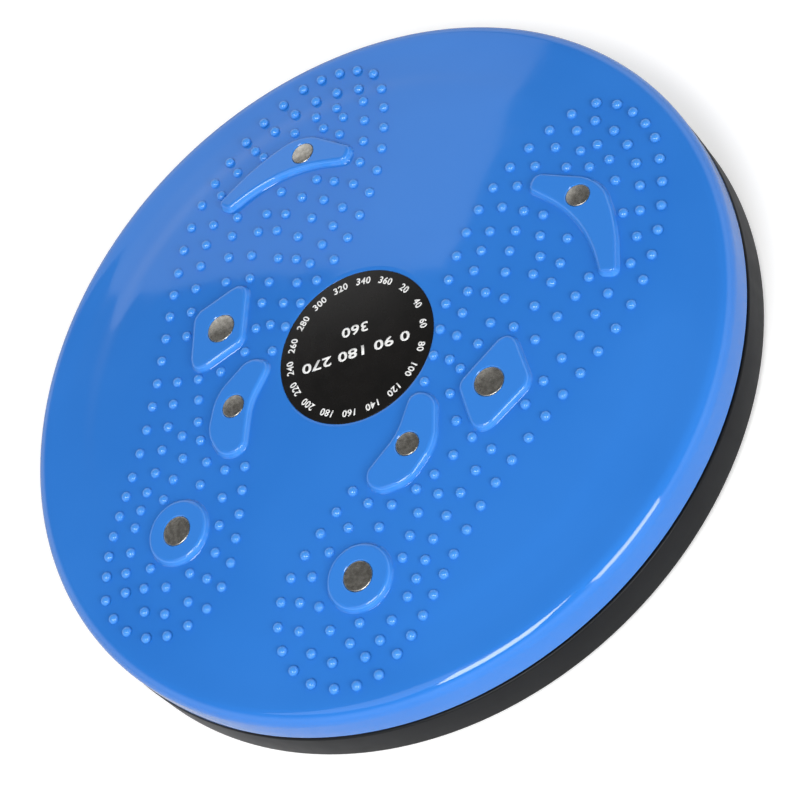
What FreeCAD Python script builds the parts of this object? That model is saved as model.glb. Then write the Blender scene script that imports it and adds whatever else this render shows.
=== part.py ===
import FreeCAD, Part
import math
import os

# Waist twisting disc: a domed blue plate with massage bumps, pads and magnets turns on a ring of balls over a
# black base. Millimetres. The origin is on the floor under the pivot, +Z is up and +Y points to the toes.

V = FreeCAD.Vector

# Overall sizes
base_d = 250.0  # across the black base
skirt_inset = 0.2  # how far the blue plate's skirt stands in from the base wall
foot_stand = 1.5  # how far the rubber feet lift the base rim
base_height = 13.0  # base rim to the top of the base wall
seam_gap = 1.0  # open line between base wall and skirt
plate_height = 19.5  # skirt edge to the crown of the plate
dome_radius = 1120.0  # the plate's top is part of this sphere
shoulder_radius = 5.0
plate_wall = 2.5
base_wall = 2.5
fit_gap = 0.1  # radial clearance of pieces set into recesses
overrun = 1.0  # how far a cutter passes a face

# Base shell
rim_height = 1.0  # standing rim round the underside
rim_width = 7.0
rim_chamfer = 1.0
dust_ring_inset = 11.0  # from the base's edge to the middle of the ring
dust_ring_rise = 4.0  # above the base wall
rib_count = 12
rib_thickness = 2.0
rib_embed = 0.8  # how far a rib runs into what it joins
base_rib_drop = 2.5  # below the top of the base wall
plate_rib_gap = 1.5  # from the dust ring up to the plate's ribs

# Ball track
track_r = 62.0
ball_d = 6.0
ball_count = 16
ball_rise = 1.5  # from the middle of the seam up to the ball centres
track_clearance = 0.05
track_land = 1.2  # from the ball centres to the flat edges of the track ribs
track_throat = 1.7  # from the track radius to a rib's inner face
track_rib = 2.7
cage_thickness = 1.6
cage_width = 12.0
pocket_clearance = 0.15

# Pivot
bolt_d = 8.0
bolt_head_af = 13.0
bolt_head_height = 5.3
nut_height = 6.8
thread_stand = 0.8  # bolt end past the nut
bolt_hole_gap = 0.15
sleeve_d = 12.0
sleeve_fit = 0.05  # running clearance of the bush on the sleeve
bush_wall = 2.0
bush_flange_width = 2.95
bush_flange_thickness = 1.0
bush_float = 0.2  # between bush flange and upper washer
upper_washer_d = 24.0
upper_washer_thickness = 2.0
lower_washer_d = 16.0
lower_washer_thickness = 1.6
head_pocket_room = 1.5  # round the upper washer
hub_wall = 2.5  # round the head pocket
head_room = 0.4  # from the bolt head to the label
base_hub_rise = 2.5  # base hub above the base wall
base_hub_web = 4.2
nut_pocket_room = 3.0  # round the lower washer
thrust_washer_inset = 3.0  # from the edge of the hubs
thrust_washer_thickness = 1.0
thrust_gap = 0.1

# Label
label_d = 54.8
label_thickness = 0.4
label_recess = 0.35

# Rubber feet
foot_count = 6
foot_d = 24.0
foot_inset = 31.0  # from the base's edge to the middle of a foot
foot_recess = 1.0
foot_chamfer = 0.8

# Massage bumps
bump_d = 3.7
bump_height = 1.5
bump_sink = 0.4
bump_sides = 8
bump_top_share = 0.5
bump_margin = 0.1  # the least distance from a bump to a pad or the label

# Right sole: its middle and the magnets' places from the pivot, and its outline from its middle, as shares of its
# length
sole_end_gap = 21.0  # from the toes and the heel to the lines that touch the base's edge there
sole_centre_shares = (0.240, -0.021)
toe_place_shares = (0.264, 0.308)
ball_place_shares = (0.257, -0.016)
arch_place_shares = (0.167, -0.138)
heel_place_shares = (0.174, -0.350)
sole_outline_shares = [
    (-0.012, 0.501),
    (0.070, 0.475),
    (0.142, 0.386),
    (0.178, 0.275),
    (0.184, 0.179),
    (0.154, 0.059),
    (0.112, -0.068),
    (0.081, -0.186),
    (0.064, -0.316),
    (0.041, -0.422),
    (-0.012, -0.484),
    (-0.082, -0.499),
    (-0.149, -0.465),
    (-0.184, -0.393),
    (-0.174, -0.316),
    (-0.139, -0.210),
    (-0.103, -0.085),
    (-0.101, 0.030),
    (-0.120, 0.126),
    (-0.134, 0.242),
    (-0.123, 0.333),
    (-0.084, 0.427),
]

# Rows of bumps: shares of the outline's length at the first and last bump, their insets from the outline as shares
# of the sole's length, and the number of bumps
bump_row_shares = [
    (0.010, 0.054, 0.002, -0.002, 4),
    (0.072, 0.221, 0.001, 0.001, 9),
    (0.239, 0.379, 0.001, 0.001, 9),
    (0.393, 0.451, 0.001, 0.001, 5),
    (0.468, 0.500, -0.004, 0.000, 3),
    (0.518, 0.672, 0.001, 0.001, 10),
    (0.757, 0.814, 0.004, 0.002, 4),
    (0.832, 0.994, -0.004, 0.000, 10),
    (0.026, 0.154, 0.041, 0.030, 7),
    (0.181, 0.275, 0.045, 0.042, 6),
    (0.310, 0.375, 0.041, 0.044, 5),
    (0.389, 0.415, 0.040, 0.039, 3),
    (0.435, 0.471, 0.043, 0.033, 3),
    (0.506, 0.588, 0.039, 0.034, 4),
    (0.611, 0.672, 0.034, 0.037, 4),
    (0.753, 0.769, 0.055, 0.056, 2),
    (0.774, 0.872, 0.033, 0.036, 7),
    (0.893, 0.992, 0.034, 0.034, 6),
    (0.025, 0.079, 0.074, 0.073, 3),
    (0.047, 0.112, 0.105, 0.060, 2),
    (0.171, 0.237, 0.087, 0.101, 4),
    (0.310, 0.340, 0.081, 0.099, 3),
    (0.349, 0.349, 0.075, 0.075, 1),
    (0.364, 0.393, 0.089, 0.077, 3),
    (0.457, 0.482, 0.084, 0.065, 2),
    (0.536, 0.586, 0.081, 0.069, 2),
    (0.664, 0.680, 0.080, 0.073, 2),
    (0.696, 0.739, 0.091, 0.086, 2),
    (0.785, 0.799, 0.073, 0.085, 2),
    (0.817, 0.822, 0.099, 0.065, 2),
    (0.839, 0.896, 0.089, 0.073, 4),
    (0.947, 0.964, 0.079, 0.072, 2),
    (0.133, 0.217, 0.143, 0.141, 4),
    (0.796, 0.838, 0.125, 0.136, 2),
    (0.856, 0.899, 0.138, 0.108, 3),
]

# Acupressure pads: height, then how far the sides and the eased edge draw in
pad_height = 2.1
pad_draft = 0.3
pad_edge = 0.8
pad_sink = 0.9

small_magnet_d = 8.0
large_magnet_d = 10.0
magnet_thickness = 2.0
magnet_set_in = 0.1

# Pad corners, from the magnet, and corner radii as shares of each pad's length
toe_pad_length = 50.0
toe_pad_shares = [
    (-0.378, -0.016, 0.060),
    (-0.068, -0.096, 0.320),
    (0.200, -0.264, 0.280),
    (0.376, -0.500, 0.048),
    (0.508, -0.478, 0.052),
    (0.346, -0.132, 0.360),
    (0.100, 0.164, 0.240),
    (-0.370, 0.112, 0.066),
]
ball_pad_length = 34.0
ball_pad_shares = [
    (-0.321, -0.088, 0.130),
    (0.115, -0.576, 0.160),
    (0.418, 0.094, 0.160),
    (-0.038, 0.594, 0.140),
]
arch_pad_length = 36.0
arch_pad_shares = [
    (-0.197, 0.497, 0.120),
    (-0.161, 0.067, 0.500),
    (-0.314, -0.367, 0.130),
    (-0.117, -0.514, 0.190),
    (0.167, -0.314, 0.280),
    (0.264, 0.072, 0.400),
    (0.072, 0.497, 0.180),
]
heel_pad_r = 11.2
heel_seam_turn = 37.0  # degrees, keeps the seam of the round pad off the dome's own seam and its mirror plane

# Heights worked out from the sizes
rim_z = foot_stand
underside_z = rim_z + rim_height
floor_z = underside_z + base_wall
base_top_z = rim_z + base_height
skirt_z = base_top_z + seam_gap
crown_z = skirt_z + plate_height
dome_centre_z = crown_z - dome_radius
ball_z = base_top_z + seam_gap / 2 + ball_rise
dust_top_z = base_top_z + dust_ring_rise
plate_rib_z = dust_top_z + plate_rib_gap
base_rib_z = base_top_z - base_rib_drop
base_hub_z = base_top_z + base_hub_rise
plate_hub_z = base_hub_z + thrust_washer_thickness + thrust_gap

base_r = base_d / 2
plate_r = base_r - skirt_inset
dust_ring_r = base_r - dust_ring_inset
foot_ring_r = base_r - foot_inset
sole_length = base_d - 2 * sole_end_gap
label_r = label_d / 2
ball_r = ball_d / 2
sleeve_r = sleeve_d / 2
bush_bore_r = sleeve_r + sleeve_fit
bush_r = bush_bore_r + bush_wall
bush_flange_r = bush_r + bush_flange_width
bolt_r = bolt_d / 2
head_pocket_r = upper_washer_d / 2 + head_pocket_room
hub_r = head_pocket_r + hub_wall
thrust_washer_r = hub_r - thrust_washer_inset
nut_pocket_r = lower_washer_d / 2 + nut_pocket_room


def dome_z(r, depth=0):
    """Height of the dome, or of the surface that lies a depth under it, at a radius."""
    return dome_centre_z + math.sqrt((dome_radius - depth) ** 2 - r**2)


label_floor_z = dome_z(label_r) - label_recess
head_top_z = label_floor_z - head_room
head_z = head_top_z - bolt_head_height
washer_z = head_z - upper_washer_thickness
head_pocket_z = washer_z - bush_float - bush_flange_thickness
nut_pocket_z = base_hub_z - base_hub_web
nut_top_z = nut_pocket_z - lower_washer_thickness
bolt_end_z = nut_top_z - nut_height - thread_stand


def profile_point(r, z):
    return V(r, 0, z)


def turned(edges):
    """A ring-shaped solid from a closed profile in the XZ plane."""
    face = Part.Face(Part.Wire(edges))
    return face.revolve(V(0, 0, 0), V(0, 0, 1), 360)


def straight_edges(points):
    """Edges along a run of (radius, height) points."""
    corners = [profile_point(r, z) for r, z in points]
    return [Part.LineSegment(a, b).toShape() for a, b in zip(corners, corners[1:])]


def turned_points(points):
    return turned(straight_edges(points + points[:1]))


def ring(inner_r, outer_r, low_z, high_z):
    return turned_points([(inner_r, low_z), (outer_r, low_z), (outer_r, high_z), (inner_r, high_z)])


def faceted(rings, sides):
    """A closed solid of flat faces through regular polygons, given as (radius, height)."""
    loops = []
    for r, z in rings:
        turns = [math.tau * k / sides for k in range(sides)]
        loops.append([V(r * math.cos(t), r * math.sin(t), z) for t in turns])
    faces = [Part.Face(Part.makePolygon(loops[0] + loops[0][:1]))]
    faces.append(Part.Face(Part.makePolygon(loops[-1] + loops[-1][:1])))
    for low, high in zip(loops, loops[1:]):
        for k in range(sides):
            n = (k + 1) % sides
            faces.append(Part.Face(Part.makePolygon([low[k], low[n], high[n], high[k], low[k]])))
    solid = Part.Solid(Part.Shell(faces))
    if solid.Volume < 0:
        solid.reverse()
    return solid


def hexagon_prism(across_flats, low_z, height):
    corner_r = across_flats / math.sqrt(3)
    return faceted([(corner_r, low_z), (corner_r, low_z + height)], 6)


def on_dome(shape, x, y):
    """A copy of a shape made at the crown, with z = 0 on the dome, moved along the dome to x, y."""
    moved = shape.copy()
    moved.translate(V(0, 0, crown_z))
    r = math.hypot(x, y)
    tilt = math.degrees(math.asin(r / dome_radius))
    moved.rotate(V(0, 0, dome_centre_z), V(-y, x, 0), tilt)
    return moved


def rounded_outline(corners, inset, z):
    """A closed wire of straight sides and corner arcs, drawn in by an inset. Corners go round anticlockwise."""
    count = len(corners)
    sides = []
    for k in range(count):
        a = V(corners[k][0], corners[k][1], 0)
        b = V(corners[(k + 1) % count][0], corners[(k + 1) % count][1], 0)
        along = (b - a).normalize()
        inward = V(-along.y, along.x, 0)
        sides.append((a + inward * inset, along))
    turned_in = []
    for k in range(count):
        p, u = sides[k - 1]
        q, w = sides[k]
        cross = u.x * w.y - u.y * w.x
        reach = ((q.x - p.x) * w.y - (q.y - p.y) * w.x) / cross
        corner = p + u * reach
        bend = math.atan2(cross, u.dot(w))
        radius = corners[k][2] - inset if bend > 0 else corners[k][2] + inset
        set_back = radius * math.tan(abs(bend) / 2)
        to_middle = V(-u.y, u.x, 0) * (radius if bend > 0 else -radius)
        start = corner - u * set_back
        end = corner + w * set_back
        middle_of_arc = start + to_middle
        half = (corner - middle_of_arc).normalize() * radius
        turned_in.append((start, middle_of_arc + half, end))
    lift = V(0, 0, z)
    edges = []
    for k in range(count):
        start, top, end = turned_in[k]
        edges.append(Part.Arc(start + lift, top + lift, end + lift).toShape())
        following = turned_in[(k + 1) % count][0]
        edges.append(Part.LineSegment(end + lift, following + lift).toShape())
    return Part.Wire(edges)


def scaled_corners(shares, length):
    return [(x * length, y * length, r * length) for x, y, r in shares]


def outlined_pad(shares, length):
    corners = scaled_corners(shares, length)
    sections = [
        rounded_outline(corners, 0, -pad_sink),
        rounded_outline(corners, pad_draft, pad_height - pad_edge),
        rounded_outline(corners, pad_draft + pad_edge, pad_height),
    ]
    return Part.makeLoft(sections, True, True)


def round_pad():
    pad = turned_points(
        [
            (0, -pad_sink),
            (heel_pad_r, -pad_sink),
            (heel_pad_r - pad_draft, pad_height - pad_edge),
            (heel_pad_r - pad_draft - pad_edge, pad_height),
            (0, pad_height),
        ]
    )
    pad.rotate(V(0, 0, 0), V(0, 0, 1), heel_seam_turn)
    return pad


def on_sole(shares):
    return (shares[0] * sole_length, shares[1] * sole_length)


# Each pad: name, place of its magnet, magnet size and its solid at the crown
pads = [
    ("toe", on_sole(toe_place_shares), small_magnet_d, outlined_pad(toe_pad_shares, toe_pad_length)),
    ("ball", on_sole(ball_place_shares), large_magnet_d, outlined_pad(ball_pad_shares, ball_pad_length)),
    ("arch", on_sole(arch_place_shares), small_magnet_d, outlined_pad(arch_pad_shares, arch_pad_length)),
    ("heel", on_sole(heel_place_shares), large_magnet_d, round_pad()),
]


def pad_footprints():
    """Flat faces of the right foot's pads at height zero, for keeping bumps off them."""
    prints = []
    for name, place, magnet_d, solid in pads:
        base = min(solid.Faces, key=lambda face: face.CenterOfMass.z).copy()
        base.translate(V(place[0], place[1], pad_sink))
        prints.append(base)
    return prints


def sole_bumps():
    """Places of the right foot's bumps, in rows that follow the sole's outline."""
    middle = V(*on_sole(sole_centre_shares), 0)
    points = [middle + V(*on_sole(shares), 0) for shares in sole_outline_shares]
    curve = Part.BSplineCurve()
    curve.interpolate(Points=points, PeriodicFlag=True)
    outline = curve.toShape()
    prints = pad_footprints()
    spots = []
    for first, last, first_inset, last_inset, count in bump_row_shares:
        for k in range(count):
            along = k / max(count - 1, 1)
            share = first + (last - first) * along
            inset = (first_inset + (last_inset - first_inset) * along) * sole_length
            here = outline.getParameterByLength(share * outline.Length)
            heading = outline.tangentAt(here)
            spot = outline.valueAt(here) + V(heading.y, -heading.x, 0) * inset
            on_label = spot.Length < label_r + bump_d / 2 + bump_margin
            to_pads = min(face.distToShape(Part.Vertex(spot))[0] for face in prints)
            if not on_label and to_pads > bump_d / 2 + bump_margin:
                spots.append(spot)
    return spots


def plate_profile():
    """Section of the plate: head pocket, dome, shoulder, skirt, two track ribs and the hub."""
    shoulder_middle_r = plate_r - shoulder_radius
    shoulder_middle_z = dome_z(shoulder_middle_r, shoulder_radius)
    grow = dome_radius / (dome_radius - shoulder_radius)
    tangent_r = shoulder_middle_r * grow
    tangent_z = dome_z(tangent_r)
    half_turn = (math.atan2(tangent_z - shoulder_middle_z, tangent_r - shoulder_middle_r)) / 2
    bulge_r = shoulder_middle_r + shoulder_radius * math.cos(half_turn)
    bulge_z = shoulder_middle_z + shoulder_radius * math.sin(half_turn)
    halfway_r = (head_pocket_r + tangent_r) / 2
    inner_r = plate_r - plate_wall
    edges = straight_edges(
        [
            (bush_r, plate_hub_z),
            (bush_r, head_pocket_z),
            (head_pocket_r, head_pocket_z),
            (head_pocket_r, dome_z(head_pocket_r)),
        ]
    )
    edges.append(
        Part.Arc(
            profile_point(head_pocket_r, dome_z(head_pocket_r)),
            profile_point(halfway_r, dome_z(halfway_r)),
            profile_point(tangent_r, tangent_z),
        ).toShape()
    )
    edges.append(
        Part.Arc(
            profile_point(tangent_r, tangent_z),
            profile_point(bulge_r, bulge_z),
            profile_point(plate_r, shoulder_middle_z),
        ).toShape()
    )
    edges += straight_edges(
        [
            (plate_r, shoulder_middle_z),
            (plate_r, skirt_z),
            (inner_r, skirt_z),
            (inner_r, dome_z(inner_r, plate_wall)),
        ]
    )
    outer_rib = track_rib_points(1, 1)
    inner_rib = track_rib_points(-1, 1)
    under = [inner_r] + [r for r, z in (outer_rib[0], outer_rib[-1], inner_rib[0], inner_rib[-1])] + [hub_r]
    edges.append(under_dome_arc(under[0], under[1]))
    edges += straight_edges(outer_rib)
    edges.append(under_dome_arc(under[2], under[3]))
    edges += straight_edges(inner_rib)
    edges.append(under_dome_arc(under[4], under[5]))
    edges += straight_edges([(hub_r, dome_z(hub_r, plate_wall)), (hub_r, plate_hub_z), (bush_r, plate_hub_z)])
    return edges


def under_dome_arc(from_r, to_r):
    """Arc along the underside of the plate between two radii."""
    middle_r = (from_r + to_r) / 2
    rs = (from_r, middle_r, to_r)
    return Part.Arc(*[profile_point(r, dome_z(r, plate_wall)) for r in rs]).toShape()


def track_rib_points(side, facing):
    """Section of one track rib from the shell to its bevelled edge and back, side +1 outside the track radius.

    The two bevels carry the balls at 45 degrees. Facing is +1 on the plate and -1 on the base.
    """
    flank = (ball_r + track_clearance) * math.sqrt(2)  # radial plus vertical distance of the bevel
    land_r = flank - track_land
    back_r = track_throat + track_rib
    bevel_z = flank - track_throat
    if facing > 0:
        shell_z = [dome_z(track_r + side * r, plate_wall) for r in (back_r, track_throat)]
    else:
        shell_z = [floor_z, floor_z]
    points = [
        (track_r + side * back_r, shell_z[0]),
        (track_r + side * back_r, ball_z + facing * track_land),
        (track_r + side * land_r, ball_z + facing * track_land),
        (track_r + side * track_throat, ball_z + facing * bevel_z),
        (track_r + side * track_throat, shell_z[1]),
    ]
    return points if side * facing > 0 else points[::-1]


def rib_blade(from_r, to_r, low_from, low_to, high_from, high_to):
    """A radial rib along +X, given its heights at both ends."""
    corners = [
        V(from_r, -rib_thickness / 2, low_from),
        V(to_r, -rib_thickness / 2, low_to),
        V(to_r, -rib_thickness / 2, high_to),
        V(from_r, -rib_thickness / 2, high_from),
    ]
    face = Part.Face(Part.makePolygon(corners + corners[:1]))
    return face.extrude(V(0, rib_thickness, 0))


def around(shape, count):
    """Copies of a shape at even turns about the pivot."""
    copies = []
    for k in range(count):
        turned_copy = shape.copy()
        turned_copy.rotate(V(0, 0, 0), V(0, 0, 1), 360 * k / count)
        copies.append(turned_copy)
    return copies


def plate_ribs():
    rib_back = track_throat + track_rib
    inner_from = hub_r - rib_embed
    inner_to = track_r - rib_back + rib_embed
    outer_from = track_r + rib_back - rib_embed
    outer_to = plate_r - plate_wall + rib_embed
    blades = []
    for start, end in ((inner_from, inner_to), (outer_from, outer_to)):
        tops = [dome_z(r, plate_wall) + rib_embed for r in (start, end)]
        blades += around(rib_blade(start, end, plate_rib_z, plate_rib_z, tops[0], tops[1]), rib_count)
    return blades


def mirrored(shape):
    return shape.mirror(V(0, 0, 0), V(1, 0, 0))


def both_feet(shape):
    return [shape, mirrored(shape)]


def magnet_solid(diameter, clearance=0, rise=0):
    r = diameter / 2 + clearance
    low = pad_height - magnet_set_in - magnet_thickness
    return upright_cylinder(r, low, magnet_thickness + rise)


def upright_cylinder(r, low_z, height):
    return Part.makeCylinder(r, height, V(0, 0, low_z))


def top_plate():
    plate = turned(plate_profile())
    bump = faceted([(bump_d / 2, -bump_sink), (bump_d / 2 * bump_top_share, bump_height)], bump_sides)
    raised = []
    for spot in sole_bumps():
        raised += both_feet(on_dome(bump, spot.x, spot.y))
    label_seat_top = crown_z + pad_height + overrun
    pockets = [upright_cylinder(label_r + fit_gap, label_floor_z, label_seat_top - label_floor_z)]
    for name, place, magnet_d, solid in pads:
        raised += both_feet(on_dome(solid, *place))
        pockets += both_feet(on_dome(magnet_solid(magnet_d, fit_gap, overrun), *place))
    plate = plate.multiFuse(raised + plate_ribs())
    return plate.cut(Part.makeCompound(pockets))


def magnets():
    pieces = {}
    for name, place, magnet_d, solid in pads:
        magnet = on_dome(magnet_solid(magnet_d), *place)
        pieces["right_" + name + "_magnet"] = magnet
        pieces["left_" + name + "_magnet"] = mirrored(magnet)
    return pieces


def centre_label():
    return upright_cylinder(label_r, label_floor_z, label_thickness)


def base_shell():
    inner_r = base_r - base_wall
    dust_out = dust_ring_r + base_wall / 2
    dust_in = dust_ring_r - base_wall / 2
    points = [
        (bolt_r + bolt_hole_gap, nut_pocket_z),
        (bolt_r + bolt_hole_gap, base_hub_z),
        (hub_r, base_hub_z),
        (hub_r, floor_z),
    ]
    points += track_rib_points(-1, -1)
    points += track_rib_points(1, -1)
    points += [
        (dust_in, floor_z),
        (dust_in, dust_top_z),
        (dust_out, dust_top_z),
        (dust_out, floor_z),
        (inner_r, floor_z),
        (inner_r, base_top_z),
        (base_r, base_top_z),
        (base_r, rim_z + rim_chamfer),
        (base_r - rim_chamfer, rim_z),
        (base_r - rim_width, rim_z),
        (base_r - rim_width, underside_z),
        (nut_pocket_r, underside_z),
        (nut_pocket_r, nut_pocket_z),
    ]
    shell = turned_points(points)
    rib_back = track_throat + track_rib
    low = floor_z - rib_embed
    spans = (
        (hub_r - rib_embed, track_r - rib_back + rib_embed),
        (track_r + rib_back - rib_embed, inner_r + rib_embed),
    )
    ribs = []
    for start, end in spans:
        ribs += around(rib_blade(start, end, low, low, base_rib_z, base_rib_z), rib_count)
    shell = shell.multiFuse(ribs)
    recess = upright_cylinder(foot_d / 2 + fit_gap, underside_z - overrun, foot_recess + overrun)
    recess.translate(V(foot_ring_r, 0, 0))
    return shell.cut(Part.makeCompound(around(recess, foot_count)))


def rubber_feet():
    r = foot_d / 2
    top = underside_z + foot_recess
    foot = turned_points([(0, 0), (r - foot_chamfer, 0), (r, foot_chamfer), (r, top), (0, top)])
    foot.translate(V(foot_ring_r, 0, 0))
    pieces = {}
    for number, copy in enumerate(around(foot, foot_count), 1):
        pieces["rubber_foot_" + str(number)] = copy
    return pieces


def ball_cage():
    half = cage_thickness / 2
    cage = ring(track_r - cage_width / 2, track_r + cage_width / 2, ball_z - half, ball_z + half)
    pocket_low = ball_z - half - overrun
    pocket = upright_cylinder(ball_r + pocket_clearance, pocket_low, cage_thickness + 2 * overrun)
    pocket.translate(V(track_r, 0, 0))
    return cage.cut(Part.makeCompound(around(pocket, ball_count)))


def bearing_balls():
    ball = Part.makeSphere(ball_r, V(track_r, 0, ball_z))
    return Part.makeCompound(around(ball, ball_count))


def spacer_sleeve():
    return ring(bolt_r + bolt_hole_gap, sleeve_r, base_hub_z, washer_z)


def flanged_bush():
    flange_top = head_pocket_z + bush_flange_thickness
    return turned_points(
        [
            (bush_bore_r, plate_hub_z),
            (bush_r, plate_hub_z),
            (bush_r, head_pocket_z),
            (bush_flange_r, head_pocket_z),
            (bush_flange_r, flange_top),
            (bush_bore_r, flange_top),
        ]
    )


def pivot_bolt():
    head = hexagon_prism(bolt_head_af, head_z, bolt_head_height)
    shank = upright_cylinder(bolt_r, bolt_end_z, head_z - bolt_end_z + bolt_head_height / 2)
    return head.fuse(shank).removeSplitter()


def pivot_nut():
    nut = hexagon_prism(bolt_head_af, nut_top_z - nut_height, nut_height)
    bore = upright_cylinder(bolt_r, nut_top_z - nut_height - overrun, nut_height + 2 * overrun)
    return nut.cut(bore)


def thrust_washer():
    return ring(sleeve_r + bolt_hole_gap, thrust_washer_r, base_hub_z, base_hub_z + thrust_washer_thickness)


def upper_washer():
    return ring(bolt_r + bolt_hole_gap, upper_washer_d / 2, washer_z, head_z)


def lower_washer():
    return ring(bolt_r + bolt_hole_gap, lower_washer_d / 2, nut_top_z, nut_pocket_z)


def main():
    os.makedirs("parts", exist_ok=True)
    pieces = {
        "top_plate": top_plate(),
        "centre_label": centre_label(),
        "flanged_bush": flanged_bush(),
        "base_shell": base_shell(),
        "spacer_sleeve": spacer_sleeve(),
        "thrust_washer": thrust_washer(),
        "upper_washer": upper_washer(),
        "lower_washer": lower_washer(),
        "pivot_bolt": pivot_bolt(),
        "pivot_nut": pivot_nut(),
        "ball_cage": ball_cage(),
        "bearing_balls": bearing_balls(),
    }
    pieces.update(magnets())
    pieces.update(rubber_feet())
    for name, shape in pieces.items():
        shape.exportStep("parts/" + name + ".step")
        print(name, len(shape.Solids), shape.isValid(), round(shape.Volume, 1))


main()
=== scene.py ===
import math

import bpy
import numpy as np
from mathutils import Matrix, Quaternion, Vector


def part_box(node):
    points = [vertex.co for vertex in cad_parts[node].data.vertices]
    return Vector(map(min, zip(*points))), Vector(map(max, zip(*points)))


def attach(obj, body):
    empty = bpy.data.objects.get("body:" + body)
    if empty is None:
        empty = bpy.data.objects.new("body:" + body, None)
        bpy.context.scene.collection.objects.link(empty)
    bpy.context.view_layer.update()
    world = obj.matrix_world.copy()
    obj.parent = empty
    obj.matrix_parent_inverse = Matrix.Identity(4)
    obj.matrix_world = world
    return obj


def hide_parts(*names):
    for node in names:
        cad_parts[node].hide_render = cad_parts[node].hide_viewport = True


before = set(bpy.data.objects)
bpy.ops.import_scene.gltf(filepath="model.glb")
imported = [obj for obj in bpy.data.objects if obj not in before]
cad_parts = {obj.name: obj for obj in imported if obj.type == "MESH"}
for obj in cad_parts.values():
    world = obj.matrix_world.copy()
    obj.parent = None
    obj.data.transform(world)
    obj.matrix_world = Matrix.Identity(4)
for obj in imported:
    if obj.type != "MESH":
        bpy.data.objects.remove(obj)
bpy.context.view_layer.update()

# Waist twisting disc. Lengths are in millimetres, times mm where Blender takes metres.
mm = 0.001
full_turn = 2 * math.pi
up_axis = (0, 0, 1)

# Heights and radii of the moulded shells
crown_z = 35.0
dome_radius = 1120.0
dome_centre_z = crown_z - dome_radius
plate_r = 124.8
skirt_z = 15.5
shoulder_radius = 5.0
wall = 2.5
base_r = 125.0
base_top_z = 14.5
rim_z = 1.5
rim_chamfer = 1.0
rim_width = 7.0
underside_z = 2.5
shoulder_r = plate_r - shoulder_radius
shoulder_z = dome_centre_z + math.sqrt((dome_radius - shoulder_radius) ** 2 - shoulder_r**2)
tangent_r = shoulder_r * dome_radius / (dome_radius - shoulder_radius)
shoulder_split_r = 3.7
skirt_top_z = 20.0
skirt_inner_top_z = 18.0
plate_inner_r = plate_r - wall
base_inner_r = base_r - wall
rim_inner_r = base_r - rim_width

# Small roundings of the moulded edges
skirt_round = 0.6
skirt_inner_round = 0.4
base_top_round = 0.7
base_top_inner_round = 0.4
rim_chamfer_upper_round = 0.8
rim_chamfer_lower_round = 0.6
rim_inner_round = 0.3
rim_inner_overlap = 0.3

# The plate's faint step near its edge, which fades away again before the shoulder
step_r = 98.0
step_width = 8.0
step_drop = 0.30
step_fade_r = 112.0
step_fade_width = 8.0

# Label and its print
label_r = 27.4
label_recess_r = 27.5
label_floor_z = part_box("centre_label")[0].z / mm
label_top_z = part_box("centre_label")[1].z / mm
label_sides = 160
label_edge_round = 0.12
label_lower_round = 0.05
recess_mouth = [(0, 0.12), (0.06, 0.03), (0.15, 0)]
ink_thickness = 0.02
ring_r = 23.9
ring_count = 18
ring_height = 2.55
line_height = 3.7
line_turn = math.radians(-150.5)
letter_spacing = 1.05
letter_boldness = 0.022
letter_fineness = 3

# Massage bumps: a disc drawn in and up by steps of (width, height)
bump_r = 1.85
bump_clearance = 0.1
bump_foot_r = 1.80
bump_sides = 14
bump_sink = 0.07
bump_steps = [(0.08, 0.22), (0.10, 0.40), (0.27, 0.45), (0.42, 0.33), (0.50, 0.17)]

# Pads: a hollow foot, a slope and an eased edge, drawn from a root below the dome
pad_height = 2.1
pad_draft = 0.3
pad_edge = 1.3
pad_flare = 0.35
pad_foot_rise = 0.35
pad_root_width = 0.02
pad_root_depth = 0.25
pad_top_inset = 0.25
pad_corner_segments = 9
pad_foot_steps = 3
pad_edge_steps = 6
footprint_arcs = 8
heel_sides = 72

# Magnets and their pockets
magnet_set_in = 0.1
magnet_thickness = 2.0
magnet_fit = 0.1
magnet_top = pad_height - magnet_set_in
magnet_bottom = magnet_top - magnet_thickness
pocket_ease = 0.25
pocket_sides = 48
magnet_sides = 64
magnet_top_round = 0.35
magnet_bottom_round = 0.3

# Rubber feet
foot_count = 6
foot_sides = 72
foot_rim_width = 4.0
foot_slope_width = 0.6
foot_hollow = 0.5
foot_top_round = 0.1
foot_rim_round = 0.8
foot_slope_round = 0.3

# Fineness of the turned shapes, and the angles in degrees up to which faces shade as one
lathe_steps = 256
dome_rings = 60
shoulder_arcs = 14
merge_distance = 0.004
cad_merge_distance = 0.002
piece_smooth_angle = 35
outside_smooth_angle = 40
field_smooth_angle = 33
level_normal_z = 0.9999


# Modelling by hand
def only(piece):
    """Make one piece the selected and active one."""
    bpy.ops.object.select_all(action="DESELECT")
    piece.select_set(True)
    bpy.context.view_layer.objects.active = piece


def edit(piece):
    only(piece)
    bpy.ops.object.mode_set(mode="EDIT")
    bpy.ops.mesh.select_all(action="SELECT")


def done():
    bpy.ops.object.mode_set(mode="OBJECT")


def started(name):
    piece = bpy.context.object
    piece.name = name
    piece.data.name = name
    return piece


def joined(name, pieces):
    only(pieces[0])
    for piece in pieces[1:]:
        piece.select_set(True)
    bpy.ops.object.join()
    return started(name)


def copied(piece, placed=Matrix.Identity(4)):
    """A copy with its own mesh, its place in that mesh."""
    twin = piece.copy()
    twin.data = piece.data.copy()
    bpy.context.scene.collection.objects.link(twin)
    twin.data.transform(placed)
    return twin


def applied(piece, kind, **settings):
    only(piece)
    modifier = piece.modifiers.new(kind.lower(), kind)
    for setting, value in settings.items():
        setattr(modifier, setting, value)
    bpy.ops.object.modifier_apply(modifier=modifier.name)


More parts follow.
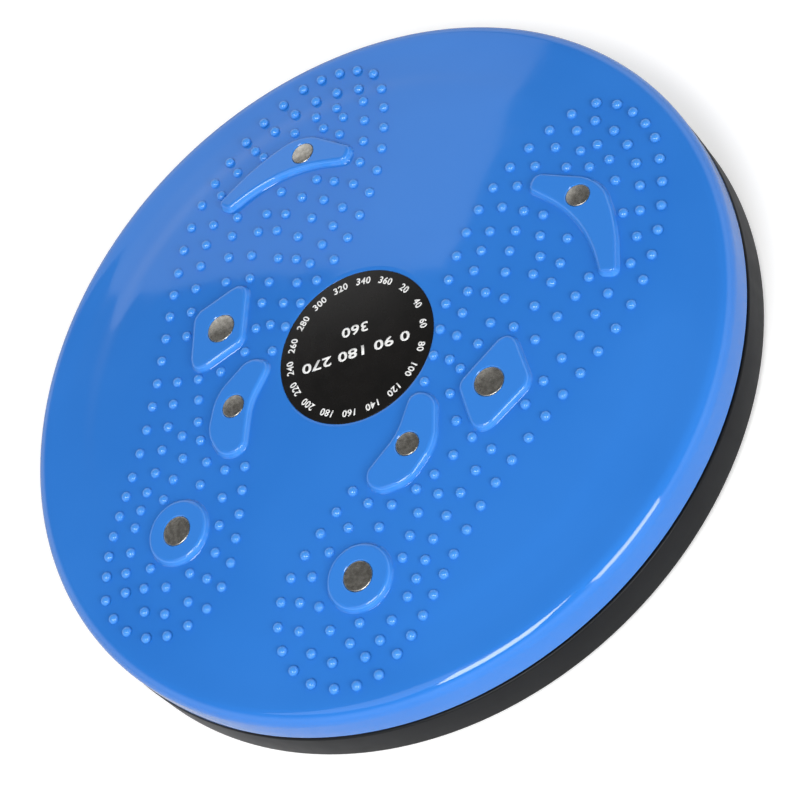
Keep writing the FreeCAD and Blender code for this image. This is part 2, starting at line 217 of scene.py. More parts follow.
def smooth(piece, degrees=piece_smooth_angle):
    only(piece)
    bpy.ops.object.shade_smooth_by_angle(angle=math.radians(degrees))


def flat_where_level(piece):
    """Level faces keep their own normals, so that long thin ones don't shade as if they were rounded."""
    for face in piece.data.polygons:
        if abs(face.normal.z) > level_normal_z:
            face.use_smooth = False


def select_faces(piece, keep):
    """Select the faces whose centre, as radius and height in mm, passes the test. Leaves edit mode on."""
    done()
    for part in [*piece.data.vertices, *piece.data.edges]:
        part.select = False
    for face in piece.data.polygons:
        face.select = bool(keep(math.hypot(face.center.x, face.center.y) / mm, face.center.z / mm))
    bpy.ops.object.mode_set(mode="EDIT")
    bpy.ops.mesh.select_mode(type="FACE")


def bent_strip(name, points):
    """A line of points in the XZ plane, drawn out from one vertex."""
    bpy.ops.object.select_all(action="DESELECT")
    bpy.ops.mesh.primitive_plane_add(size=mm)
    piece = started(name)
    edit(piece)
    bpy.ops.mesh.select_mode(type="VERT")
    bpy.ops.mesh.merge(type="CENTER")
    here = Vector((points[0][0], 0, points[0][1])) * mm
    bpy.ops.transform.translate(value=here)
    for r, z in points[1:]:
        there = Vector((r, 0, z)) * mm
        bpy.ops.mesh.extrude_vertices_move(TRANSFORM_OT_translate={"value": there - here})
        here = there
    done()
    return piece


def lathed(name, points, steps=lathe_steps):
    """A turned shape. The line runs from the top outwards and down, so that its faces point out."""
    piece = bent_strip(name, points)
    edit(piece)
    bpy.ops.mesh.spin(steps=steps, angle=full_turn, center=(0, 0, 0), axis=up_axis)
    bpy.ops.mesh.select_all(action="SELECT")
    bpy.ops.mesh.remove_doubles(threshold=merge_distance * mm)
    bpy.ops.mesh.normals_make_consistent(inside=False)
    done()
    return piece


def corner_round(before, corner, after, radius, count=4):
    """Points of a small rounding at a corner of a profile."""
    before, corner, after = Vector(before), Vector(corner), Vector(after)
    back = (before - corner).normalized()
    ahead = (after - corner).normalized()
    half = back.angle(ahead) / 2
    reach = radius / math.tan(half)
    middle = corner + (back + ahead).normalized() * radius / math.sin(half)
    start = corner + back * reach - middle
    end = corner + ahead * reach - middle
    swing = start.angle(end)
    points = []
    for k in range(count + 1):
        part = k / count
        a = math.sin((1 - part) * swing) / math.sin(swing)
        b = math.sin(part * swing) / math.sin(swing)
        points.append(tuple(middle + start * a + end * b))
    return points


def eased(corners):
    """A profile whose corners (r, z, radius) are rounded where a radius is given."""
    points = []
    for k, (r, z, radius) in enumerate(corners):
        if radius:
            before = corners[k - 1][:2]
            after = corners[k + 1][:2]
            points += corner_round(before, (r, z), after, radius)
        else:
            points.append((r, z))
    return points


def on_dome(x, y):
    """Place for a shape made with z = 0 on the dome at its crown: moved along the dome to x, y."""
    tilt = math.asin(math.hypot(x, y) / dome_radius)
    turn = Matrix.Rotation(tilt, 4, Vector((-y, x, 0)))
    pivot = Matrix.Translation(Vector((0, 0, dome_centre_z)) * mm)
    return pivot @ turn @ Matrix.Translation(Vector((0, 0, dome_radius)) * mm)


# Right sole: its middle from the disc's centre, and its outline from that middle, as shares of its length
sole_length = 208.0
sole_centre_shares = (0.240, -0.021)
sole_outline_shares = [
    (-0.012, 0.501), (0.070, 0.475), (0.142, 0.386), (0.178, 0.275), (0.184, 0.179), (0.154, 0.059),
    (0.112, -0.068), (0.081, -0.186), (0.064, -0.316), (0.041, -0.422), (-0.012, -0.484), (-0.082, -0.499),
    (-0.149, -0.465), (-0.184, -0.393), (-0.174, -0.316), (-0.139, -0.210), (-0.103, -0.085), (-0.101, 0.030),
    (-0.120, 0.126), (-0.134, 0.242), (-0.123, 0.333), (-0.084, 0.427),
]
# Rows of bumps: first and last place as shares of the way round the outline, first and last inset as shares
# of the sole's length, and the number of bumps
bump_row_shares = [
    (0.010, 0.054, 0.002, -0.002, 4), (0.072, 0.221, 0.001, 0.001, 9), (0.239, 0.379, 0.001, 0.001, 9),
    (0.393, 0.451, 0.001, 0.001, 5), (0.468, 0.500, -0.004, 0.000, 3), (0.518, 0.672, 0.001, 0.001, 10),
    (0.757, 0.814, 0.004, 0.002, 4), (0.832, 0.994, -0.004, 0.000, 10), (0.026, 0.154, 0.041, 0.030, 7),
    (0.181, 0.275, 0.045, 0.042, 6), (0.310, 0.375, 0.041, 0.044, 5), (0.389, 0.415, 0.040, 0.039, 3),
    (0.435, 0.471, 0.043, 0.033, 3), (0.506, 0.588, 0.039, 0.034, 4), (0.611, 0.672, 0.034, 0.037, 4),
    (0.753, 0.769, 0.055, 0.056, 2), (0.774, 0.872, 0.033, 0.036, 7), (0.893, 0.992, 0.034, 0.034, 6),
    (0.025, 0.079, 0.074, 0.073, 3), (0.047, 0.112, 0.105, 0.060, 2), (0.171, 0.237, 0.087, 0.101, 4),
    (0.310, 0.340, 0.081, 0.099, 3), (0.349, 0.349, 0.075, 0.075, 1), (0.364, 0.393, 0.089, 0.077, 3),
    (0.457, 0.482, 0.084, 0.065, 2), (0.536, 0.586, 0.081, 0.069, 2), (0.664, 0.680, 0.080, 0.073, 2),
    (0.696, 0.739, 0.091, 0.086, 2), (0.785, 0.799, 0.073, 0.085, 2), (0.817, 0.822, 0.099, 0.065, 2),
    (0.839, 0.896, 0.089, 0.073, 4), (0.947, 0.964, 0.079, 0.072, 2), (0.133, 0.217, 0.143, 0.141, 4),
    (0.796, 0.838, 0.125, 0.136, 2), (0.856, 0.899, 0.138, 0.108, 3),
]


def closed_curve(points, per_span=40):
    """Dense points of the smooth closed curve through the given points, spaced by their distances."""
    points = np.array(points)
    count = len(points)
    gaps = np.linalg.norm(np.roll(points, -1, axis=0) - points, axis=1)
    slopes_of = np.zeros((count, count))
    right_side = np.zeros((count, 2))
    for k in range(count):
        before, after = gaps[k - 1], gaps[k]
        slopes_of[k, k - 1] += after
        slopes_of[k, k] += 2 * (before + after)
        slopes_of[k, (k + 1) % count] += before
        step_before = (points[k] - points[k - 1]) / before
        step_after = (points[(k + 1) % count] - points[k]) / after
        right_side[k] = 3 * (after * step_before + before * step_after)
    slopes = np.linalg.solve(slopes_of, right_side)
    dense = []
    for k in range(count):
        a, b = points[k], points[(k + 1) % count]
        lean_a, lean_b = slopes[k] * gaps[k], slopes[(k + 1) % count] * gaps[k]
        for t in np.arange(per_span) / per_span:
            dense.append(
                a * (1 + 2 * t) * (1 - t) ** 2 + lean_a * t * (1 - t) ** 2
                + b * t * t * (3 - 2 * t) - lean_b * t * t * (1 - t)
            )
    dense.append(dense[0])
    return np.array(dense)


def sole_places(pad_outlines):
    """Places of the right foot's bumps: rows that follow the outline, clear of the pads and the label."""
    centre = np.array(sole_centre_shares)
    line = closed_curve([(centre + shares) * sole_length for shares in sole_outline_shares])
    run = np.concatenate([[0], np.cumsum(np.linalg.norm(np.diff(line, axis=0), axis=1))])

    def along(way):
        return np.array([np.interp(way, run, line[:, 0]), np.interp(way, run, line[:, 1])])

    near = 0.5
    clear = bump_r + bump_clearance
    places = []
    for first, last, first_inset, last_inset, count in bump_row_shares:
        for k in range(count):
            part = k / max(count - 1, 1)
            at = (first + (last - first) * part) * run[-1]
            inset = (first_inset + (last_inset - first_inset) * part) * sole_length
            ahead, behind = along(at + near), along(at - near)
            heading = (ahead - behind) / np.linalg.norm(ahead - behind)
            spot = along(at) + np.array([heading[1], -heading[0]]) * inset
            off_the_label = np.linalg.norm(spot) >= label_r + clear
            if off_the_label and all(clear_of(spot, outline, clear) for outline in pad_outlines):
                places.append(tuple(spot))
    return places


def clear_of(spot, outline, distance):
    """True if a spot lies outside a closed outline by more than a distance."""
    ends = np.roll(outline, -1, axis=0)
    along = ends - outline
    share = np.clip(((spot - outline) * along).sum(1) / (along**2).sum(1), 0, 1)
    nearest = np.linalg.norm(outline + along * share[:, None] - spot, axis=1).min()
    crossing = (outline[:, 1] > spot[1]) != (ends[:, 1] > spot[1])
    rise = np.where(along[:, 1] == 0, 1, along[:, 1])
    reach = outline[:, 0] + (spot[1] - outline[:, 1]) * along[:, 0] / rise
    inside = (crossing & (spot[0] < reach)).sum() % 2 == 1
    return nearest > distance and not inside


# Pads of the right foot: the magnet's place as shares of the sole's length, its diameter, the pad's length,
# and the corners from the magnet with their radii as shares of that length. The heel pad is round.
pad_shapes = {
    "toe": ((0.264, 0.308), 8.0, 50.0, [
        (-0.378, -0.016, 0.060), (-0.068, -0.096, 0.800), (0.200, -0.264, 0.850), (0.376, -0.500, 0.048),
        (0.508, -0.478, 0.052), (0.346, -0.132, 1.200), (0.100, 0.164, 0.280), (-0.370, 0.112, 0.066),
    ]),
    "ball": ((0.257, -0.016), 10.0, 34.0, [
        (-0.321, -0.088, 0.130), (0.115, -0.576, 0.160), (0.418, 0.094, 0.160), (-0.038, 0.594, 0.140),
    ]),
    "arch": ((0.167, -0.138), 8.0, 36.0, [
        (-0.197, 0.497, 0.120), (-0.161, 0.067, 0.500), (-0.314, -0.367, 0.130), (-0.117, -0.514, 0.190),
        (0.167, -0.314, 0.280), (0.264, 0.072, 0.400), (0.072, 0.497, 0.180),
    ]),
    "heel": ((0.174, -0.350), 10.0, 22.4, None),
}


def filled_circle(name, sides, radius):
    bpy.ops.object.select_all(action="DESELECT")
    bpy.ops.mesh.primitive_circle_add(vertices=sides, radius=radius * mm, fill_type="NGON")
    return started(name)


def pad_blank(name, length, corners):
    """A flat face with the pad's outline, drawn out by the flare at its foot."""
    if corners is None:
        return filled_circle(name, heel_sides, length / 2 + pad_flare)
    count = len(corners)
    piece = filled_circle(name, count, length)
    spots = [Vector((x, y)) * length for x, y, radius in corners]
    set_backs = []
    for k in range(count):
        before = (spots[k] - spots[k - 1]).normalized()
        after = (spots[(k + 1) % count] - spots[k]).normalized()
        bend = math.atan2(before.x * after.y - before.y * after.x, before.dot(after))
        out_before = Vector((before.y, -before.x))
        out_after = Vector((after.y, -after.x))
        moved = spots[k] + (out_before + out_after) * pad_flare / (1 + out_before.dot(out_after))
        radius = corners[k][2] * length + (pad_flare if bend > 0 else -pad_flare)
        set_backs.append(radius * math.tan(abs(bend) / 2))
        piece.data.vertices[k].co = Vector((moved.x, moved.y, 0)) * mm
    widest = max(set_backs)
    weights = piece.data.attributes.new("bevel_weight_vert", "FLOAT", "POINT")
    for k in range(count):
        weights.data[k].value = set_backs[k] / widest
    edit(piece)
    bpy.ops.mesh.normals_make_consistent(inside=False)
    done()
    if piece.data.polygons[0].normal.z < 0:
        edit(piece)
        bpy.ops.mesh.flip_normals()
        done()
    applied(
        piece, "BEVEL", affect="VERTICES", limit_method="WEIGHT",
        width=widest * mm, segments=pad_corner_segments, profile=0.5,
    )
    return piece


def stepped(piece, steps):
    """Draw a flat face in and up by steps of (width, height) in mm."""
    edit(piece)
    bpy.ops.mesh.select_mode(type="FACE")
    for width, height in steps:
        bpy.ops.mesh.inset(thickness=width * mm, depth=height * mm, use_even_offset=True)
    done()


def quarter(width, height, count, hollow=False):
    """Steps of a quarter round: hollow starts flat and ends steep, full starts steep and ends flat."""
    steps = []
    for k in range(count):
        a, b = k / count * math.pi / 2, (k + 1) / count * math.pi / 2
        if hollow:
            steps.append((width * (math.sin(b) - math.sin(a)), height * (math.cos(a) - math.cos(b))))
        else:
            steps.append((width * (math.cos(a) - math.cos(b)), height * (math.sin(b) - math.sin(a))))
    return steps


def magnet_cutter(diameter):
    """The magnet's pocket with an eased mouth, drawn on past the pad's top."""
    r = diameter / 2 + magnet_fit
    overrun = 1.0
    return lathed("pocket_cutter", [
        (0, pad_height + overrun), (r + pocket_ease + overrun, pad_height + overrun),
        (r, pad_height - pocket_ease), (r, magnet_bottom), (0, magnet_bottom),
    ], steps=pocket_sides)


def pad(name, magnet_d, length, corners):
    """A pad at the crown, its rim bent down along the dome, with the pocket for its magnet."""
    piece = pad_blank(name, length, corners)
    steps = [(pad_root_width, pad_root_depth)]
    steps += quarter(pad_flare - pad_root_width, pad_foot_rise, pad_foot_steps, hollow=True)
    steps += [(pad_draft, pad_height - pad_edge - pad_foot_rise)]
    steps += quarter(pad_edge, pad_edge, pad_edge_steps)
    steps += [(pad_top_inset, 0.0)]
    stepped(piece, steps)
    foot_level = 0.01
    for vertex in piece.data.vertices:
        vertex.co.z -= pad_root_depth * mm
        x, y = vertex.co.x / mm, vertex.co.y / mm
        if vertex.co.z < foot_level * mm:
            vertex.co.z -= (x * x + y * y) / (2 * dome_radius) * mm
    edit(piece)
    bpy.ops.mesh.select_mode(type="EDGE")
    bpy.ops.mesh.select_all(action="DESELECT")
    bpy.ops.mesh.select_non_manifold()
    bpy.ops.mesh.edge_face_add()
    bpy.ops.mesh.select_all(action="SELECT")
    bpy.ops.mesh.normals_make_consistent(inside=False)
    done()
    cutter = magnet_cutter(magnet_d)
    applied(piece, "BOOLEAN", object=cutter, operation="DIFFERENCE", solver="EXACT")
    bpy.data.objects.remove(cutter)
    return piece


def footprint(place, length, corners):
    """Points of a pad's outline in mm, for keeping bumps off it."""
    if corners is None:
        turns = np.arange(heel_sides) * full_turn / heel_sides
        return np.array(place) + np.stack([np.cos(turns), np.sin(turns)], 1) * length / 2
    points = []
    count = len(corners)
    spots = [Vector((x, y)) * length for x, y, radius in corners]
    for k in range(count):
        after = spots[(k + 1) % count]
        arc = corner_round(spots[k - 1], spots[k], after, corners[k][2] * length, footprint_arcs)
        points += [np.array(point) + place for point in arc]
    return np.array(points)


def massage_bump():
    piece = filled_circle("massage_bump", bump_sides, bump_foot_r)
    stepped(piece, bump_steps)
    for vertex in piece.data.vertices:
        vertex.co.z -= bump_sink * mm
    return piece


# Plate
def dome_z(r):
    return math.sqrt(dome_radius**2 - r * r) + dome_centre_z


def blend(part):
    """0 to 1 with a soft start and end."""
    part = min(max(part, 0), 1)
    return part * part * (3 - 2 * part)


def outer_plate():
    """The plate's smooth outside: label recess, dome, shoulder, skirt and its lower edge."""
    recess_z = dome_z(label_recess_r)
    points = [(0, label_floor_z), (label_recess_r, label_floor_z)]
    for width, depth in recess_mouth:
        points.append((label_recess_r + width, recess_z - depth))
    for k in range(1, dome_rings):
        r = label_recess_r + (tangent_r - label_recess_r) * k / dome_rings
        faded = 1 - min(max((r - step_fade_r) / step_fade_width, 0), 1)
        points.append((r, dome_z(r) - step_drop * blend((r - step_r) / step_width) * blend(faded)))
    lean = math.asin(tangent_r / dome_radius)
    for k in range(shoulder_arcs + 1):
        a = lean + (math.pi / 2 - lean) * k / shoulder_arcs
        out, up = math.sin(a), math.cos(a)
        points.append((shoulder_r + shoulder_radius * out, shoulder_z + shoulder_radius * up))
    points += eased([
        (plate_r, skirt_top_z, 0), (plate_r, skirt_z, skirt_round),
        (plate_inner_r, skirt_z, skirt_inner_round), (plate_inner_r, skirt_inner_top_z, 0),
    ])
    return lathed("outer_plate", points)


def plate_outside(r, z):
    """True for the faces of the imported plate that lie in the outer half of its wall, or above it."""
    if r <= tangent_r:
        return math.hypot(r, z - dome_centre_z) > dome_radius - wall / 2
    if z < shoulder_z:
        return r > plate_r - wall / 2
    return math.hypot(r - shoulder_r, z - shoulder_z) > shoulder_split_r


def merged_copy(node, name):
    """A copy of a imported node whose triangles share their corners, free of the frame."""
    piece = copied(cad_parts[node])
    for key in list(piece.keys()):
        del piece[key]
    piece.parent = None
    piece.name = name
    edit(piece)
    bpy.ops.mesh.remove_doubles(threshold=cad_merge_distance * mm)
    done()
    return piece


def delete_faces(piece, test):
    edit(piece)
    select_faces(piece, test)
    bpy.ops.mesh.delete(type="FACE")
    done()


def place_on_sole(shares):
    return shares[0] * sole_length, shares[1] * sole_length


def right_foot_field():
    """The right foot's pads and bumps in one piece."""
    pads = []
    outlines = []
    for name, (place_shares, magnet_d, length, corners) in pad_shapes.items():
        place = place_on_sole(place_shares)
        piece = pad(name + "_pad", magnet_d, length, corners)
        piece.data.transform(on_dome(*place))
        pads.append(piece)
        outlines.append(footprint(place, length, corners))
    bump = massage_bump()
    bumps = [copied(bump, on_dome(*spot)) for spot in sole_places(outlines)]
    print("bumps on one foot:", len(bumps))
    bpy.data.objects.remove(bump)
    field = joined("right_foot", pads + bumps)
    smooth(field, field_smooth_angle)
    return field


def mirrored(piece):
    """A copy on the other side of the YZ plane."""
    twin = copied(piece, Matrix.Scale(-1, 4, (1, 0, 0)))
    edit(twin)
    bpy.ops.mesh.flip_normals()
    done()
    return twin


def make_plate():
    inside = merged_copy("top_plate", "plate_inside")
    skirt_edge = 0.1
    delete_faces(inside, lambda r, z: (
        plate_outside(r, z) or (z < skirt_z + skirt_edge and r > plate_inner_r + skirt_edge)
    ))
    smooth(inside)
    flat_where_level(inside)
    outside = outer_plate()
    smooth(outside, outside_smooth_angle)
    right_foot = right_foot_field()
    return joined("plate_moulding", [outside, inside, right_foot, mirrored(right_foot)])


# Base
def outer_base():
    """The base's outside: the top of its wall, the wall, the chamfered rim and the rim's inner side."""
    inner_overlap = 2.0
    return lathed("outer_base", eased([
        (base_inner_r, base_top_z - inner_overlap, 0), (base_inner_r, base_top_z, base_top_inner_round),
        (base_r, base_top_z, base_top_round), (base_r, rim_z + rim_chamfer, rim_chamfer_upper_round),
        (base_r - rim_chamfer, rim_z, rim_chamfer_lower_round), (rim_inner_r, rim_z, rim_inner_round),
        (rim_inner_r, underside_z + rim_inner_overlap, 0),
    ]))


def make_base():
    inside = merged_copy("base_shell", "base_inside")
    edge = 0.05
    rim_edge = 0.5
    delete_faces(inside, lambda r, z: (
        r > base_r - wall / 2
        or (z < underside_z - edge and r > rim_inner_r - rim_edge)
        or (z > base_top_z - edge and r > base_inner_r)
    ))
    smooth(inside)
    flat_where_level(inside)
    outside = outer_base()
    smooth(outside, outside_smooth_angle)
    return joined("base_moulding", [outside, inside])


# Label and its numbers
def make_label_disc():
    disc = lathed("label_disc", eased([
        (0, label_top_z, 0), (label_r, label_top_z, label_edge_round),
        (label_r, label_floor_z, label_lower_round), (0, label_floor_z, 0),
    ]), steps=label_sides)
    smooth(disc)
    return disc


def print_line(text, height, x, y, turn, width=None):
    """Numbers on the label: their height, their middle, the way they read and, if given, their width."""
    bpy.ops.object.select_all(action="DESELECT")
    bpy.ops.object.text_add()
    line = bpy.context.object
    line.data.body = text
    line.data.size = 1
    line.data.space_character = letter_spacing
    line.data.offset = letter_boldness
    line.data.resolution_u = letter_fineness
    bpy.ops.object.convert(target="MESH")
    line = bpy.context.object
    spots = np.array([vertex.co for vertex in line.data.vertices])
    low, high = spots.min(0), spots.max(0)
    across, tall = high[0] - low[0], high[1] - low[1]
    width = width or across * height / tall
    edit(line)
    bpy.ops.mesh.extrude_region_move(TRANSFORM_OT_translate={"value": (0, 0, ink_thickness / height)})
    bpy.ops.mesh.select_all(action="SELECT")
    bpy.ops.mesh.normals_make_consistent(inside=False)
    done()
    line.data.transform(
        Matrix.Translation(Vector((x, y, label_top_z)) * mm)
        @ Matrix.Rotation(turn, 4, "Z")
        @ Matrix.Diagonal((width / across * mm, height / tall * mm, height * mm, 1))
        @ Matrix.Translation(Vector((-(low[0] + high[0]) / 2, -(low[1] + high[1]) / 2, 0)))
    )
    return line


def make_label_marks():
    """A ring of numbers that stand away from the middle, and two lines across it."""
    lines = []
    for k in range(1, ring_count + 1):
        turn = full_turn * k / ring_count
        number = str(k * 360 // ring_count)
        lines.append(print_line(number, ring_height, ring_r * math.sin(turn), ring_r * math.cos(turn), -turn))
    lines.append(print_line("0 90 180 270", line_height, x=0.8, y=-2.1, turn=line_turn, width=38.5))
    lines.append(print_line("360", line_height, x=-3.2, y=5.4, turn=line_turn, width=9.4))
    return joined("label_marks", lines)


# Magnets
def magnet_pair(name, place_shares, diameter):
    """The right and the left magnet of a pair of pads, each with the node that it stands for."""
    r = diameter / 2
    disc = lathed(name + "_magnet_disc", eased([
        (0, magnet_top, 0), (r, magnet_top, magnet_top_round),
        (r, magnet_bottom, magnet_bottom_round), (0, magnet_bottom, 0),
    ]), steps=magnet_sides)
    disc.data.transform(on_dome(*place_on_sole(place_shares)))
    smooth(disc)
    disc.name = "right_" + name + "_magnet_disc"
    twin = mirrored(disc)
    twin.name = "left_" + name + "_magnet_disc"
    return [(disc, "right_" + name + "_magnet"), (twin, "left_" + name + "_magnet")]


# Rubber feet
def make_feet():
    """Round feet with a raised rim, each with the node that it stands for."""
    low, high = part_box("rubber_foot_1")
    r = (high.y - low.y) / 2 / mm
    bottom, top = low.z / mm, high.z / mm
    place = Matrix.Translation(Vector(((high.x + low.x) / 2, 0, 0)))
    slope_r = r - foot_rim_width
    hollow_r = slope_r - foot_slope_width
    foot_pad = lathed("rubber_foot_pad", eased([
        (0, top, 0), (r, top, foot_top_round), (r, bottom, foot_rim_round),
        (slope_r, bottom, foot_slope_round), (hollow_r, bottom + foot_hollow, foot_slope_round),
        (0, bottom + foot_hollow, 0),
    ]), steps=foot_sides)
    smooth(foot_pad)
    feet = []
    for k in range(foot_count):
        one = copied(foot_pad, Matrix.Rotation(full_turn * k / foot_count, 4, "Z") @ place)
        one.name = "foot_pad_" + str(k + 1)
        feet.append((one, "rubber_foot_" + str(k + 1)))
    bpy.data.objects.remove(foot_pad)
    return feet


# Finishes
def linear(r, g, b):
    """The linear colour of one given as it looks on a screen, 0 to 255."""
    shares = [c / 255 for c in (r, g, b)]
    return [s / 12.92 if s <= 0.04045 else ((s + 0.055) / 1.055) ** 2.4 for s in shares] + [1]


def mapped(tree, value, before, after=(0, 1), kind="LINEAR"):
    """A node that carries a value over from one range to another."""
    node = tree.nodes.new("ShaderNodeMapRange")
    node.interpolation_type = kind
    for socket, number in zip(("From Min", "From Max", "To Min", "To Max"), (*before, *after)):
        node.inputs[socket].default_value = number
    tree.links.new(value, node.inputs["Value"])
    return node.outputs["Result"]


class Finish:
    """A material whose colour, roughness and surface come from patterns on the piece."""

    def __init__(self, name, **settings):
        self.material = bpy.data.materials.new(name)
        self.material.use_nodes = True
        self.tree = self.material.node_tree
        self.nodes = self.tree.nodes
        self.links = self.tree.links
        self.shader = self.nodes["Principled BSDF"]
        self.place = self.nodes.new("ShaderNodeTexCoord").outputs["Object"]
        for socket, value in settings.items():
            self.shader.inputs[socket.replace("_", " ")].default_value = value

    def noise(self, size_mm, detail=3.0, roughness=0.5):
        pattern = self.nodes.new("ShaderNodeTexNoise")
        pattern.inputs["Scale"].default_value = 1 / (size_mm * mm)
        pattern.inputs["Detail"].default_value = detail
        pattern.inputs["Roughness"].default_value = roughness
        self.links.new(self.place, pattern.inputs["Vector"])
        return pattern.outputs["Fac"]

    def tint(self, pattern, dark, light, low=0.35, high=0.65):
        ramp = self.nodes.new("ShaderNodeValToRGB")
        ramp.color_ramp.elements[0].position = low
        ramp.color_ramp.elements[0].color = dark
        ramp.color_ramp.elements[1].position = high
        ramp.color_ramp.elements[1].color = light
        self.links.new(pattern, ramp.inputs["Fac"])
        self.links.new(ramp.outputs["Color"], self.shader.inputs["Base Color"])

    def painted_light_where_raised(self, bump_painted_light, pad_top_painted_light):
        """Painted light: the thin raised parts of the plate, the bumps and the pads' edges and tops, are
        painted lighter, by their height as a share of the pads' height, in place of the light that they
        catch.
        """
        bare_share = 0.05
        bump_shares = (0.28, 0.75)
        pad_share = 0.98
        lifted = self.nodes.new("ShaderNodeVectorMath")
        lifted.operation = "DISTANCE"
        lifted.inputs[1].default_value = (0, 0, dome_centre_z * mm)
        self.links.new(self.place, lifted.inputs[0])
        reach = (dome_radius * mm, (dome_radius + pad_height) * mm)
        height = mapped(self.tree, lifted.outputs["Value"], reach)
        # Painted light colours by height: bumps and the pads' edges lighter, the pads' tops a little lighter.
        painted_light_tones = self.nodes.new("ShaderNodeValToRGB")
        bare = painted_light_tones.color_ramp.elements[0]
        bare.position = bare_share
        bare.color = (*bump_painted_light[:3], 0)
        top = painted_light_tones.color_ramp.elements[1]
        top.position = pad_share
        top.color = pad_top_painted_light
        for position in bump_shares:
            painted_light_tones.color_ramp.elements.new(position).color = bump_painted_light
        self.links.new(height, painted_light_tones.inputs["Fac"])
        mixed = self.nodes.new("ShaderNodeMix")
        mixed.data_type = "RGBA"
        under = self.shader.inputs["Base Color"].links[0].from_socket
        self.links.new(painted_light_tones.outputs["Alpha"], mixed.inputs["Factor"])
        self.links.new(under, mixed.inputs["A"])
        self.links.new(painted_light_tones.outputs["Color"], mixed.inputs["B"])
        self.links.new(mixed.outputs["Result"], self.shader.inputs["Base Color"])

    def vary(self, socket, pattern, low, high):
        """A setting of the shader that follows a pattern between two values."""
        pattern_range = (0.3, 0.7)
        self.links.new(mapped(self.tree, pattern, pattern_range, (low, high)), self.shader.inputs[socket])

    def relief(self, *layers):
        """Layers of (pattern, depth in mm), the coarse one first."""
        before = None
        for pattern, depth in layers:
            bump_node = self.nodes.new("ShaderNodeBump")
            bump_node.inputs["Strength"].default_value = 1.0
            bump_node.inputs["Distance"].default_value = depth * mm
            self.links.new(pattern, bump_node.inputs["Height"])
            if before:
                self.links.new(before, bump_node.inputs["Normal"])
            before = bump_node.outputs["Normal"]
        self.links.new(before, self.shader.inputs["Normal"])


def blue_moulding():
    finish = Finish("blue_gloss_moulding", IOR=1.50, Specular_IOR_Level=0.62)
    finish.tint(finish.noise(size_mm=60, detail=2), linear(41, 121, 213), linear(47, 126, 218))
    # Painted light: the bumps and the pads' edges and tops get a lighter colour by their height.
    finish.painted_light_where_raised(linear(68, 147, 234), linear(53, 131, 223))
    finish.vary("Roughness", finish.noise(size_mm=9, detail=4), 0.045, 0.075)
    finish.relief((finish.noise(size_mm=32, detail=1), 0.16), (finish.noise(size_mm=1.2, detail=2), 0.0012))
    return finish.material


def black_moulding():
    finish = Finish("black_base_moulding", IOR=1.49, Specular_IOR_Level=0.22)
    finish.tint(finish.noise(size_mm=30, detail=3), linear(17, 18, 20), linear(23, 24, 26))
    finish.vary("Roughness", finish.noise(size_mm=7, detail=4), 0.34, 0.42)
    finish.relief((finish.noise(size_mm=0.8, detail=3), 0.006))
    return finish.material


def label_film():
    finish = Finish("black_label_film", IOR=1.5, Specular_IOR_Level=0.35)
    finish.tint(finish.noise(size_mm=12, detail=3), linear(17, 16, 15), linear(22, 20, 19))
    finish.vary("Roughness", finish.noise(size_mm=5, detail=3), 0.22, 0.30)
    finish.relief((finish.noise(size_mm=0.5, detail=2), 0.002))
    return finish.material


def label_ink():
    finish = Finish("white_label_ink", IOR=1.5)
    finish.tint(finish.noise(size_mm=1.0, detail=3), linear(240, 240, 238), linear(250, 250, 249))
    finish.vary("Roughness", finish.noise(size_mm=2, detail=3), 0.40, 0.50)
    finish.relief((finish.noise(size_mm=0.4, detail=2), 0.002))
    return finish.material


def nickel_plating():
    finish = Finish("nickel_plating", Metallic=1.0)
    finish.tint(finish.noise(size_mm=1.6, detail=4), linear(170, 166, 158), linear(206, 202, 194))
    finish.vary("Roughness", finish.noise(size_mm=0.9, detail=4), 0.20, 0.32)
    finish.relief((finish.noise(size_mm=2.5, detail=2), 0.02), (finish.noise(size_mm=0.4, detail=3), 0.003))
    return finish.material


def foot_rubber():
    finish = Finish("grey_foot_rubber", IOR=1.5)
    finish.tint(finish.noise(size_mm=6, detail=4), linear(52, 53, 55), linear(62, 63, 65))
    finish.vary("Roughness", finish.noise(size_mm=3, detail=3), 0.70, 0.85)
    finish.relief((finish.noise(size_mm=0.35, detail=3), 0.015))
    return finish.material


def bright_steel():
    finish = Finish("zinc_plated_steel", Metallic=1.0)
    finish.tint(finish.noise(size_mm=4, detail=4), linear(176, 178, 181), linear(198, 200, 203))
    finish.vary("Roughness", finish.noise(size_mm=1.5, detail=4), 0.26, 0.38)
    finish.relief((finish.noise(size_mm=0.6, detail=3), 0.004))
    return finish.material


def ball_steel():
    finish = Finish("polished_ball_steel", Metallic=1.0)
    finish.tint(finish.noise(size_mm=3, detail=3), linear(200, 202, 205), linear(214, 216, 219))
    finish.vary("Roughness", finish.noise(size_mm=2, detail=3), 0.08, 0.14)
    return finish.material


def acetal():
    finish = Finish("natural_acetal", IOR=1.48)
    finish.tint(finish.noise(size_mm=8, detail=3), linear(226, 224, 216), linear(236, 234, 227))
    finish.vary("Roughness", finish.noise(size_mm=3, detail=3), 0.36, 0.46)
    finish.relief((finish.noise(size_mm=0.7, detail=3), 0.004))
    return finish.material


def dress(piece, material):
    piece.data.materials.clear()
    piece.data.materials.append(material)


